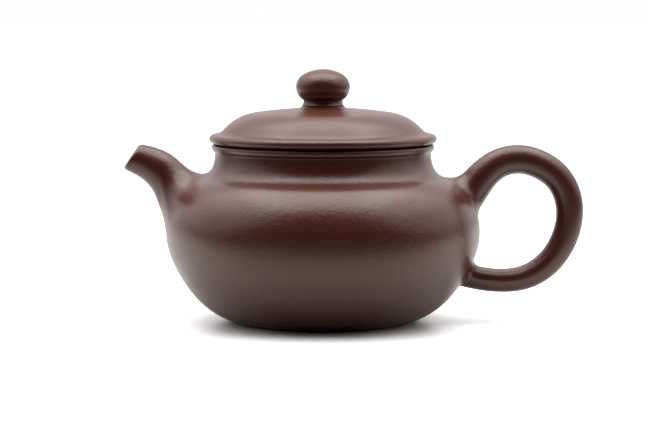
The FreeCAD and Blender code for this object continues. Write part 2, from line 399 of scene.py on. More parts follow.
@dataclass(frozen=True)
class ClayFinish:
    """Burnished unglazed clay: dark red-brown, satin, with sand grain and an orange-peel skin.

    Colours are linear. Noises are given as cells per metre and octaves.

    Args:
        name: Material name.
        base: Clay colour.
        warm: Clay colour of the warmer patches.
        mottle: Noise of the warmer patches.
        mottle_span: Noise values between which base turns to warm.
        pale: Colour of the scattered pale grains.
        speck_cells: Cells per metre that may hold a pale grain.
        speck_core: Distances from a cell's middle between which the grain comes in.
        rarity: Noise that thins the grains out.
        rarity_span: Values of that noise between which grains come in.
        tint: Colour of the skin's own reflections.
        gloss: Specular level of the burnished skin.
        index: Refractive index of the burnished skin.
        roughness: Least and greatest roughness of the burnished skin.
        polish: Noise of the roughness.
        peel: Orange peel.
        grain: Sand grain.
    """

    name: str
    base: Triple = (0.103, 0.0200, 0.0115)
    warm: Triple = (0.118, 0.0240, 0.0135)
    mottle: Pair = (95.0, 4.0)
    mottle_span: Pair = (0.35, 0.68)
    pale: Triple = (0.24, 0.15, 0.11)
    speck_cells: float = 420.0
    speck_core: Pair = (0.10, 0.05)
    rarity: Pair = (140.0, 1.0)
    rarity_span: Pair = (0.64, 0.70)
    tint: Triple = (1.0, 0.99, 0.91)
    gloss: float = 0.8
    index: float = 1.5
    roughness: Pair = (0.27, 0.36)
    polish: Pair = (420.0, 3.0)
    peel: SkinRelief = SkinRelief(cells=900.0, depth=0.00016, strength=0.5)
    grain: SkinRelief = SkinRelief(cells=3200.0, depth=0.00005, strength=0.15)

    def build(self) -> Material:
        """Makes the node material on object coordinates.

        Returns:
            The material.
        """
        material = bpy.data.materials.new(self.name)
        material.use_nodes = True
        tree = material.node_tree
        place = node(tree, "TexCoord", {})["Object"]
        patches = remap(tree, noise(tree, place, *self.mottle), self.mottle_span, UNIT)
        tone = blend(tree, patches, (*self.base, 1.0), (*self.warm, 1.0))
        peel = self.peel.over(tree, place, {})
        feed(tree, tree.nodes["Principled BSDF"], {
            "Base Color": blend(tree, self.specks(tree, place), tone, (*self.pale, 1.0)),
            "Roughness": remap(tree, noise(tree, place, *self.polish), UNIT, self.roughness),
            "IOR": self.index,
            "Specular IOR Level": self.gloss,
            "Specular Tint": (*self.tint, 1.0),
            "Normal": self.grain.over(tree, place, {"Normal": peel}),
        })
        return material

    def specks(self, tree: Tree, place: Socket) -> Socket:
        """Marks sparse pale grains: cores of scattered cells, kept only where a coarse noise is high.

        Args:
            tree: Material tree.
            place: Coordinate socket.

        Returns:
            A mask socket from 0 to 1.
        """
        cells = node(tree, "TexVoronoi", {"Vector": place, "Scale": self.speck_cells})
        core = remap(tree, cells["Distance"], self.speck_core, UNIT)
        rare = remap(tree, noise(tree, place, *self.rarity), self.rarity_span, UNIT)
        return arithmetic(tree, "MULTIPLY", core, rare)


@dataclass(frozen=True)
class StagePaint:
    """Plain white table with a soft sheen and a painted pool of light round the object.

    The painted pool is an ellipse on the table, seen in reflections and bounce light only: the distance
    from its middle, measured in its half widths, eases from full brightness to the rim's share.

    Args:
        name: Material name.
        white: Brightness that the camera sees.
        index: Refractive index of the sheen that the camera sees.
        roughness: Roughness of that sheen.
        mirror: Brightness of the painted pool of light in reflections.
        bounce: Brightness of the painted pool as it lights the object from below.
        painted_bounce_tint: Painted warm tint that bounce light from the clay gives the pool, unseen by
            the camera.
        rim: Share of the pool's brightness left outside it.
        middle: Middle of the pool in metres.
        halves: Half widths of the pool along X and Y in metres.
        ease: Distances in half widths between which the pool fades.
    """

    name: str = "table_white"
    white: float = 2.1
    index: float = 1.55
    roughness: float = 0.3
    mirror: float = 1.1
    bounce: float = 0.25
    # Painted warm bounce light from the clay on the pool, seen in reflections and bounce light only.
    painted_bounce_tint: Triple = (1.0, 0.955, 0.915)
    rim: float = 0.15
    middle: Pair = (0.0, 0.9)
    halves: Pair = (0.9, 1.0)
    ease: Pair = (0.91, 1.07)

    def build(self) -> Material:
        """Makes the material.

        Returns:
            The material.
        """
        material = bpy.data.materials.new(self.name)
        material.use_nodes = True
        tree = material.node_tree
        # Painted pool of light: reflections and bounce light see the table brighter round the object, the
        # camera sees plain white.
        pool = self.pool(tree)
        tones = {}
        for channel, share in zip(("Red", "Green", "Blue"), self.painted_bounce_tint):
            mirrored = arithmetic(tree, "MULTIPLY", pool, self.mirror * share)
            carried = arithmetic(tree, "MULTIPLY", pool, self.bounce * share)
            tones[channel] = by_ray(tree, self.white, mirrored, carried)
        matte = node(tree, "BsdfDiffuse", {"Color": node(tree, "CombineColor", tones)["Color"]})
        sheen = node(tree, "BsdfAnisotropic", {"Color": WHITE, "Roughness": self.roughness})
        fresnel = node(tree, "Fresnel", {"IOR": self.index})["Fac"]
        shown = arithmetic(tree, "MULTIPLY", fresnel, node(tree, "LightPath", {})["Is Camera Ray"])
        layers = node(tree, "MixShader", {"Fac": shown, 1: matte["BSDF"], 2: sheen["BSDF"]})
        feed(tree, tree.nodes["Material Output"], {"Surface": layers["Shader"]})
        return material

    def pool(self, tree: Tree) -> Socket:
        """Paints the pool of light as a mask on the table.

        Args:
            tree: Material tree.

        Returns:
            A socket that is 1 in the pool and the rim's share far from it.
        """
        place = node(tree, "TexCoord", {})["Object"]
        ellipse = {"Vector": place, "Location": (*self.middle, 0.0), "Scale": (*self.halves, 1.0)}
        widths = node(tree, "Mapping", ellipse, vector_type="TEXTURE")["Vector"]
        away = node(tree, "VectorMath", {0: widths}, operation="LENGTH")["Value"]
        return remap(tree, away, self.ease, (1.0, self.rim), Ease.SMOOTH)


def grid_mesh(name: str, points: Points, quads: Points, triangles: Points) -> Mesh:
    """Makes a smooth mesh from arrays.

    Args:
        name: Mesh name.
        points: Vertex places as rows of x, y and z in metres.
        quads: Vertex numbers, four per row.
        triangles: Vertex numbers, three per row.

    Returns:
        The mesh.
    """
    corners = np.concatenate([quads.ravel(), triangles.ravel()]).astype(np.int32)
    totals = np.concatenate([np.full(len(quads), 4), np.full(len(triangles), 3)]).astype(np.int32)
    starts = np.concatenate([[0], np.cumsum(totals)[:-1]]).astype(np.int32)
    mesh = bpy.data.meshes.new(name)
    mesh.vertices.add(len(points))
    mesh.vertices.foreach_set("co", np.ascontiguousarray(points, np.float32).ravel())
    mesh.loops.add(len(corners))
    mesh.loops.foreach_set("vertex_index", corners)
    mesh.polygons.add(len(totals))
    mesh.polygons.foreach_set("loop_start", starts)
    mesh.polygons.foreach_set("use_smooth", np.ones(len(totals), bool))
    mesh.update(calc_edges=True)
    mesh.validate()
    return mesh


def wrapped_quads(rows: int, columns: int, closed: bool) -> Points:
    """Numbers the quads of a grid that wraps round its columns.

    Args:
        rows: Rings of the grid.
        columns: Vertices on a ring.
        closed: Whether the last ring joins the first.

    Returns:
        Vertex numbers, four per quad, facing outward where rows rise on the outside.
    """
    row = np.arange(rows if closed else rows - 1)[:, None]
    column = np.arange(columns)[None, :]
    beside = (column + 1) % columns
    here, after = row * columns, (row + 1) % rows * columns
    corners = np.broadcast_arrays(here + column, here + beside, after + beside, after + column)
    return np.stack(corners, axis=-1).reshape(-1, 4)


def closed_mesh(name: str, rings: Points, tips: Points) -> Mesh:
    """Makes a closed mesh from rings of points, facing outward.

    Rings join in order. Two tips close the ends with fans, and with no tips the last ring joins the
    first. The volume, a sum of tetrahedra from the origin, tells which way the faces point.

    Args:
        name: Mesh name.
        rings: Points in metres on a grid of rings and columns.
        tips: Two points in metres, or none.

    Returns:
        The mesh.
    """
    rows, columns = rings.shape[:2]
    points = np.vstack([rings.reshape(-1, 3), tips])
    quads, fans = wrapped_quads(rows, columns, closed=len(tips) == 0), NO_FANS
    if len(tips):
        here = np.arange(columns)
        beside = (here + 1) % columns
        end = (rows - 1) * columns
        tip = np.full(columns, rows * columns)
        fans = np.vstack([
            np.column_stack([tip, beside, here]),
            np.column_stack([tip + 1, end + here, end + beside]),
        ])
    halves = np.vstack([quads[:, :3], quads[:, [0, 2, 3]], fans])
    a, b, c = (points[halves[:, corner]] for corner in range(3))
    if np.sum(a * np.cross(b, c)) < 0.0:
        quads, fans = quads[:, ::-1], fans[:, ::-1]
    return grid_mesh(name, points, quads, fans)


def swung(flat: Points, turns: Points) -> Points:
    """Carries rows of (r, z) round the axis: a point is (r cos a, r sin a, z).

    Args:
        flat: Rows of radius and height.
        turns: Shares of a whole turn.

    Returns:
        Points on a grid of rows and turns.
    """
    angle = 2 * np.pi * turns
    height = np.broadcast_to(flat[:, 1:], (len(flat), len(turns)))
    return np.stack([flat[:, :1] * np.cos(angle), flat[:, :1] * np.sin(angle), height], axis=-1)


def ramp(values: Points, span: Pair) -> Points:
    """Rises straight from 0 at the start of a span to 1 at its end, and holds beyond it."""
    return np.clip((values - span[0]) / (span[1] - span[0]), 0.0, 1.0)


@dataclass
class ClayPiece:
    """One closed piece of clay that stands for solids of the frame.

    Args:
        clay: Material to wear.
        scale: Metres per millimetre of the piece's own sizes, worked out from the frame.
    """

    clay: Material
    scale: float

    name: ClassVar[str]
    body: ClassVar[Body]
    nodes: ClassVar[tuple[str, ...]]
    columns: ClassVar[int] = 300
    relief: ClassVar[HandRelief] = HandRelief()

    def turns(self) -> Points:
        """Spaces the columns evenly round the piece, as shares of a whole turn."""
        return np.arange(self.columns) / self.columns

    def surface(self) -> Mesh:
        """Works out the piece's closed mesh."""
        raise NotImplementedError

    def build(self) -> bpy.types.Object:
        """Makes the piece, dresses it and puts it on its body.

        Returns:
            The finished object.
        """
        piece = bpy.data.objects.new(self.name, self.surface())
        bpy.context.scene.collection.objects.link(piece)
        piece.data.materials.append(self.clay)
        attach(piece, self.body.value)
        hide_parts(*self.nodes)
        LOG.info("%s: %d faces for %s", self.name, len(piece.data.polygons), ", ".join(self.nodes))
        return piece


class TurnedPiece(ClayPiece):
    """Closed surface of revolution about Z with hand relief.

    The outline is carried round the axis, and each point is moved along the outline's own normal by
    the relief times the piece's calm mask.
    """

    ON_AXIS: ClassVar[float] = 1e-6

    def outline(self) -> Outline:
        """Draws the profile in millimetres, with the solid on the left of the pen."""
        raise NotImplementedError

    def calm(self, points: Points) -> Points:
        """Weighs the relief from 0 to 1 at points in millimetres."""
        raise NotImplementedError

    def surface(self) -> Mesh:
        """Carries the outline round the axis.

        Returns:
            The closed mesh.
        """
        profile = self.outline().profile()
        poles = bool(profile[0, 0] < self.ON_AXIS)
        used = slice(1, -1) if poles else slice(0, -1)
        ring = profile[used]
        ahead = (np.roll(profile, -1, 0) - np.roll(profile, 1, 0))[used]
        normal = np.column_stack([ahead[:, 1], -ahead[:, 0]])
        normal /= np.linalg.norm(normal, axis=1, keepdims=True)
        lengths = np.concatenate([[0.0], np.cumsum(np.linalg.norm(np.diff(ring, axis=0), axis=1))])
        turns = self.turns()
        points = swung(ring, turns)
        push = self.relief.height(lengths / lengths[-1], turns) * self.calm(points)
        rings = points + push[..., None] * swung(normal, turns)
        tips = np.column_stack([np.zeros((2, 2)), profile[[0, -1], 1]]) if poles else NO_TIPS
        return closed_mesh(self.name, rings * self.scale, tips * self.scale)


@dataclass
class PotShell(TurnedPiece):
    """Pot from its pressed-in base to the mouth bead, inside and out.

    The relief lies flat at the foot and the lid's seat and fades out round the roots of spout and
    handle, where their skirts lie on the wall.

    Args:
        wall: Thickness of the wall.
        belly: Widest place as radius and height.
        lower: Arcs from the belly down, drawn upward. The last one runs on to the table.
        upper: Arcs from the belly up to the neck.
        floor_round: Round between wall and floor inside.
        rest_inner: Inner radius of the rest ring.
        rest_round: Rounds at the rest ring's inner edge.
        rest_step: Last step from the rest ring to the wall's first point.
        dish: Depth of the pressed-in centre.
        seat: Height of the lid's seat.
        bead: Radius of the mouth bead.
        bead_lower: Round of the bead's lower half.
        bead_upper: Round of the bead's upper half.
        mouth_round: Round of the mouth's inner edge.
        calm_roots: Distances beside the limbs between which the relief comes in.
        calm_foot: Heights over the foot between which it comes in.
        calm_seat: Heights below the seat between which it comes in.
        weld: Widest gap in metres that is closed along the spout's opening.
    """

    name = "pot_shell"
    body = Body.POT
    nodes = ("base_disc", "body_wall", "shoulder", "neck", "mouth_rim")

    wall: float = 3.0
    belly: Pair = (50.0, 29.0)
    lower: tuple[Arc, ...] = (Arc(22.6, 21.06), Arc(42.55, 19.53), Arc(26.4, 20.0))
    upper: tuple[Arc, ...] = (Arc(18.69, 54.9), Arc(12.4, 16.4), Arc(6.2, -55.3), Arc(13.7, -16.0))
    floor_round: float = 19.4
    rest_inner: float = 21.5
    rest_round: float = 0.5
    rest_step: float = 0.2
    dish: float = 0.8
    seat: float = 56.6
    bead: float = 35.42
    bead_lower: float = 1.9
    bead_upper: float = 0.8
    mouth_round: float = 0.4
    calm_roots: Pair = (13.0, 25.0)
    calm_foot: Pair = (1.0, 5.0)
    calm_seat: Pair = (53.6, 47.6)
    weld: float = 2e-6

    def outline(self) -> Outline:
        """Draws base, wall, shoulder, neck and bead, then the inside back down to the floor.

        Returns:
            The outline in millimetres, from the axis under the base to the axis on the floor.
        """
        fall = Outline(self.belly, -90.0).arcs(*(run.mirrored() for run in self.lower))
        bottom = self.lower[-1].radius
        centre = fall.place[1] + bottom * math.cos(math.radians(180.0 + fall.heading))
        fall.arcs(Arc(bottom, math.degrees(math.acos(centre / bottom)) - 180.0 - fall.heading))
        pen = Outline((0.0, self.dish))
        rest = (self.rest_inner, 0.0)
        pen.rounded((self.rest_inner - self.dish, self.dish), rest, self.rest_round)
        pen.rounded(rest, (fall.place[0], 0.0), self.rest_round)
        pen.line(fall.place[0] - self.rest_step, 0.0)
        pen.follow(fall.profile()[::-1], 90.0).arcs(*self.upper)
        neck, rise = pen.place
        swing = math.degrees(math.acos((neck - self.bead + self.bead_lower) / self.bead_lower))
        crest = self.seat - self.bead_upper
        pen.line(neck, crest - self.bead_lower * math.sin(math.radians(swing)))
        pen.heading = 90.0 - swing
        pen.arcs(Arc(self.bead_lower, swing), Arc(self.bead_upper, 90.0))
        bore = neck - self.wall
        pen.rounded((bore, self.seat), (bore, rise), self.mouth_round).line(bore, rise)
        pen.arcs(*(self.inside(run) for run in (*self.upper[::-1], *self.lower)))
        pen.arcs(Arc(self.floor_round, -180.0 - pen.heading))
        return pen.line(0.0, pen.place[1])

    def inside(self, run: Arc) -> Arc:
        """Sets an outer arc, drawn upward, in by the wall and draws it downward."""
        return Arc(run.radius - math.copysign(self.wall, run.turn), -run.turn)

    def calm(self, points: Points) -> Points:
        """Fades the relief at foot, seat and limb roots."""
        beside, height = np.abs(points[..., 1]), points[..., 2]
        return ramp(beside, self.calm_roots) * ramp(height, self.calm_foot) * ramp(height, self.calm_seat)

    def surface(self) -> Mesh:
        """Turns the shell, takes the spout's bore out of its wall and welds the edge of the cut.

        Returns:
            The closed mesh.
        """
        whole = bpy.data.objects.new("whole_shell", super().surface())
        bore = bpy.data.objects.new("spout_bore", PouringSpout(self.clay, self.scale).bore_mesh())
        for piece in (whole, bore):
            bpy.context.scene.collection.objects.link(piece)
        opening = whole.modifiers.new("spout_opening", "BOOLEAN")
        opening.operation = "DIFFERENCE"
        opening.solver = "EXACT"
        opening.object = bore
        cut = whole.evaluated_get(bpy.context.evaluated_depsgraph_get())
        shell = bpy.data.meshes.new_from_object(cut)
        for piece in (whole, bore):
            bpy.data.objects.remove(piece)
        welder = bmesh.new()
        welder.from_mesh(shell)
        bmesh.ops.remove_doubles(welder, verts=welder.verts, dist=self.weld)
        welder.to_mesh(shell)
        welder.free()
        shell.name = self.name
        return shell


@dataclass
class LidCap(TurnedPiece):
    """Lid with its low dome, rim bead and locating flange, round an air hole on the axis.

    Args:
        top: Height of the dome's top.
        wall: Thickness of the dome.
        crown: Arc of the dome's middle, drawn inward.
        edge: Arc of the dome's edge.
        sweep: Hollow arc between dome and bead.
        bead_upper: Round of the bead's upper half.
        seat: Height of the seat on the pot.
        slot_radius: Inner radius of the slot over the mouth bead.
        slot_height: Height of that slot.
        flange: Outer radius of the flange.
        flange_depth: Depth of the flange below the seat.
        flange_round: Rounds at the flange's end.
        vent: Radius of the air hole.
        calm_middle: Radii between which the relief comes in round the knob's seat.
        calm_rim: Heights over the rim between which it comes in.
    """

    name = "lid_cap"
    body = Body.LID
    nodes = ("lid_dome", "lid_rim", "lid_flange")
    relief = HandRelief(swell=0.04, scrape=0.008, seed=8)

    top: float = 68.17
    wall: float = 3.2
    crown: Arc = Arc(152.5, 8.2)
    edge: Arc = Arc(16.4, 40.45)
    sweep: Arc = Arc(4.27, -46.4)
    bead_upper: float = 1.48
    seat: float = 56.6
    slot_radius: float = 33.4
    slot_height: float = 0.4
    flange: float = 31.1
    flange_depth: float = 8.0
    flange_round: float = 0.8
    vent: float = 1.1
    calm_middle: Pair = (8.5, 13.5)
    calm_rim: Pair = (58.1, 61.1)

    def outline(self) -> Outline:
        """Draws the underside out to the flange, round the rim bead and back over the dome.

        Returns:
            The closed outline in millimetres, starting and ending at the air hole.
        """
        down = (run.mirrored() for run in (self.crown, self.edge, self.sweep))
        dome = Outline((0.0, self.top)).arcs(*down)
        bead_turn = 90.0 + dome.heading
        crest = dome.arcs(Arc(self.bead_upper, -bead_turn)).place
        under = self.crown.radius - self.wall
        start = math.degrees(math.asin(self.vent / under))
        height = self.top - self.crown.radius + under * math.cos(math.radians(start))
        pen = Outline((self.vent, height), -start)
        pen.arcs(Arc(under, start - self.crown.turn), Arc(self.edge.radius - self.wall, -self.edge.turn))
        inner, low = pen.place[0], self.seat - self.flange_depth
        pen.rounded((inner, low), (self.flange, low), self.flange_round)
        pen.rounded((self.flange, low), (self.flange, self.seat), self.flange_round)
        pen.line(self.flange, self.seat).line(self.slot_radius, self.seat)
        slot = self.seat + self.slot_height
        lower = crest[1] - slot
        pen.line(self.slot_radius, slot).line(crest[0] - lower, slot)
        pen.arcs(Arc(lower, 90.0), Arc(self.bead_upper, bead_turn), self.sweep, self.edge)
        tip = math.degrees(math.asin(self.vent / self.crown.radius))
        pen.arcs(Arc(self.crown.radius, self.crown.turn - tip))
        return pen.line(self.vent, height)

    def calm(self, points: Points) -> Points:
        """Fades the relief below the rim and near the knob's seat."""
        reach = np.hypot(points[..., 0], points[..., 1])
        return ramp(reach, self.calm_middle) * ramp(points[..., 2], self.calm_rim)


@dataclass
class KnobButton(TurnedPiece):
    """Button knob on its flared collar, with the fine joint line between them and the air hole.

    Args:
        top: Height of the knob's top.
        crown: Arc of the knob's top, drawn inward.
        cheek: Arc of its side.
        under: Arc of its underside.
        throat: Tight hollow arc where button meets flare.
        flare: Hollow arc down to the lid.
        collar: Height of the collar.
        joint: Depth and height of the joint line.
        joint_fall: Fall of the joint line's lower side.
        hollow: Height of the collar's hollow over its foot.
        vent: Radius of the air hole.
        bevel: Bevel of the air hole.
        spacing: Longest step along the outline.
        calm_collar: Heights between which the relief comes in.
        calm_vent: Radii between which it comes in round the air hole.
    """

    name = "knob_button"
    body = Body.LID
    nodes = ("knob", "knob_collar")
    relief = HandRelief(swell=0.03, scrape=0.005, seed=3)
    columns = 192

    top: float = 80.34
    crown: Arc = Arc(12.45, 29.7)
    cheek: Arc = Arc(4.79, 60.3)
    under: Arc = Arc(4.69, 57.4)
    throat: Arc = Arc(0.5, -57.4)
    flare: Arc = Arc(2.27, -80.0)
    collar: float = 0.8
    joint: float = 0.13
    joint_fall: float = 0.02
    hollow: float = 0.2
    vent: float = 1.1
    bevel: float = 0.3
    spacing: float = 0.5
    calm_collar: Pair = (71.0, 73.0)
    calm_vent: Pair = (2.0, 4.0)

    def outline(self) -> Outline:
        """Draws the collar's foot, flare, joint line, throat, cheek and crown, then the air hole.

        Returns:
            The closed outline in millimetres.
        """
        runs = (self.crown, self.cheek, self.under, self.throat, self.flare)
        foot = Outline((0.0, self.top)).arcs(*(run.mirrored() for run in runs)).place
        start = (self.vent, foot[1] + self.hollow)
        pen = Outline(start, 0.0, self.spacing).line(*foot)
        pen.heading = 90.0 - self.flare.turn
        whole = self.flare.radius * math.sin(math.radians(-self.flare.turn))
        upper = math.degrees(math.asin((whole - self.collar) / self.flare.radius))
        pen.arcs(Arc(self.flare.radius, self.flare.turn + upper))
        flare_heading, (edge, level) = pen.heading, pen.place
        groove, above = edge - self.joint, level + self.joint
        pen.line(groove, level + self.joint_fall).line(groove, above).line(edge, above)
        pen.heading = flare_heading
        pen.arcs(Arc(self.flare.radius, -upper), self.throat, self.under, self.cheek)
        tip = math.degrees(math.asin((self.vent + self.bevel) / self.crown.radius))
        pen.arcs(Arc(self.crown.radius, self.crown.turn - tip))
        return pen.line(self.vent, pen.place[1] - self.bevel).line(*start)

    def calm(self, points: Points) -> Points:
        """Keeps the collar and air hole true."""
        reach = np.hypot(points[..., 0], points[..., 1])
        return ramp(points[..., 2], self.calm_collar) * ramp(reach, self.calm_vent)


@dataclass
class Spine:
    """Middle line of a limb in the XZ plane, through stations (x, z, radius) in millimetres.

    All three run over chord length as natural cubic splines: their second derivatives solve a
    tridiagonal system and vanish at both ends.

    Args:
        stations: Stations in order.
        steps: Newton steps to the nearest place.
        least_stiffness: Least value that such a step divides by.
    """

    stations: tuple[Triple, ...]
    steps: int = 3
    least_stiffness: float = 0.4
    values: Points = field(init=False)
    knots: Points = field(init=False)
    bends: Points = field(init=False)

    def __post_init__(self) -> None:
        """Solves the splines."""
        self.values = np.array(self.stations)
        gaps = np.linalg.norm(np.diff(self.values[:, :2], axis=0), axis=1)
        self.knots = np.concatenate([[0.0], np.cumsum(gaps)])
        inner = np.arange(1, len(self.values) - 1)
        system = np.eye(len(self.values))
        system[inner, inner - 1] = gaps[:-1] / 6
        system[inner, inner] = (gaps[:-1] + gaps[1:]) / 3
        system[inner, inner + 1] = gaps[1:] / 6
        changes = np.zeros_like(self.values)
        changes[inner] = np.diff(np.diff(self.values, axis=0) / gaps[:, None], axis=0)
        self.bends = np.linalg.solve(system, changes)

    def at(self, length: Points) -> tuple[Points, Points, Points]:
        """Reads the splines.

        Args:
            length: Places along the line.

        Returns:
            Stations, slopes and second derivatives there, with x, z and radius in the last axis.
        """
        span = np.clip(np.searchsorted(self.knots, length, side="right") - 1, 0, len(self.knots) - 2)
        gap = (self.knots[span + 1] - self.knots[span])[..., None]
        before = (self.knots[span + 1] - length)[..., None] / gap
        after = 1.0 - before
        first, last = self.values[span], self.values[span + 1]
        bend_first, bend_last = self.bends[span], self.bends[span + 1]
        sag = (before**3 - before) * bend_first + (after**3 - after) * bend_last
        tilt = (1 - 3 * before**2) * bend_first + (3 * after**2 - 1) * bend_last
        value = before * first + after * last + sag * gap**2 / 6
        slope = (last - first) / gap + tilt * gap / 6
        return value, slope, before * bend_first + after * bend_last

    def skin(self, length: Points, angle: Points) -> Points:
        """Places points on the limb: the middle plus the radius, swung from the line's left to +Y.

        Args:
            length: Places along the line.
            angle: Angles round it in radians.

        Returns:
            Points in millimetres.
        """
        length, angle = np.broadcast_arrays(length, angle)
        value, slope, _ = self.at(length)
        along = slope[..., :2] / np.linalg.norm(slope[..., :2], axis=-1, keepdims=True)
        side = value[..., 2] * np.cos(angle)
        x = value[..., 0] - side * along[..., 1]
        z = value[..., 1] + side * along[..., 0]
        return np.stack([x, value[..., 2] * np.sin(angle), z], axis=-1)

    def nearest(self, points: Points, length: Points) -> tuple[Points, Points, Points]:
        """Finds the nearest place on the line by Newton steps, and the distance to the limb's skin.

        Args:
            points: Points in millimetres.
            length: First guesses along the line.

        Returns:
            Places along the line, distances outside the skin and directions away from the line.
        """
        for _ in range(self.steps):
            value, slope, bend = self.at(length)
            off = points[..., ::2] - value[..., :2]
            lead = np.sum(off * slope[..., :2], axis=-1)
            stiff = np.sum(slope[..., :2] ** 2 - off * bend[..., :2], axis=-1)
            step = lead / np.maximum(stiff, self.least_stiffness)
            length = np.clip(length + step, 0.0, self.knots[-1])
        value = self.at(length)[0]
        off = points - np.stack([value[..., 0], np.zeros_like(length), value[..., 1]], axis=-1)
        reach = np.linalg.norm(off, axis=-1)
        return length, reach - value[..., 2], off / reach[..., None]


@dataclass
class PotSkin:
    """Distance to the pot's turned outside, true on each arc of its outline.

    Args:
        spacing: Longest step between samples of the outline in millimetres.
        straight_neck: Almost straight arc that stands for the top of the neck.
    """

    spacing: float = 0.4
    straight_neck: Arc = Arc(5000.0, 0.04)
    near: Points = field(init=False)
    centres: Points = field(init=False)
    reaches: Points = field(init=False)

    def __post_init__(self) -> None:
        """Samples the outline and keeps each sample's arc."""
        rise = Outline(PotShell.belly, 90.0, self.spacing).arcs(*PotShell.upper, self.straight_neck)
        lower = (run.mirrored() for run in PotShell.lower)
        fall = Outline(PotShell.belly, -90.0, self.spacing).arcs(*lower)
        near, centres, reaches = [], [], []
        for pen, side in ((rise, 1.0), (fall, -1.0)):
            for path, (centre, reach) in zip(pen.points[1:], pen.rounds):
                near.append(path)
                centres.append(np.broadcast_to(centre, path.shape))
                reaches.append(np.full(len(path), side * reach))
        self.near = np.vstack(near)
        self.centres = np.vstack(centres)
        self.reaches = np.concatenate(reaches)

    def distance(self, points: Points) -> tuple[Points, Points]:
        """Measures from the nearest arc's centre, less its radius; hollow arcs count inward.

        Args:
            points: Points in millimetres.

        Returns:
            Distances outside the pot and directions away from it.
        """
        radius = np.hypot(points[..., 0], points[..., 1])
        flat = np.stack([radius, points[..., 2]], axis=-1)
        gaps = (flat[..., None, :] - self.near) ** 2
        arc = np.argmin(gaps.sum(axis=-1), axis=-1)
        off = flat - self.centres[arc]
        length = np.linalg.norm(off, axis=-1)
        side = np.sign(self.reaches[arc])
        away = off * (side / length)[..., None]
        outward = points[..., :2] * (away[..., 0] / radius)[..., None]
        return side * length - self.reaches[arc], np.concatenate([outward, away[..., 1:]], axis=-1)


def first_below(lengths: Points, levels: Points) -> Points:
    """Finds where each column of levels first falls below nought, by straight lines between samples.

    Args:
        lengths: Places of the samples.
        levels: Levels on a grid of samples and columns, above nought at first.

    Returns:
        One place per column.
    """
    after = np.argmax(levels < 0.0, axis=0)
    column = np.arange(levels.shape[1])
    high, low = levels[after - 1, column], levels[after, column]
    return lengths[after - 1] + (lengths[after] - lengths[after - 1]) * high / (high - low)


def quadratic(share: Points, first: Points, corner: Points, last: Points) -> Points:
    """Rounds a corner by the quadratic curve that leaves and meets its flanks in line."""
    return (1.0 - share) ** 2 * first + 2.0 * share * (1.0 - share) * corner + share**2 * last


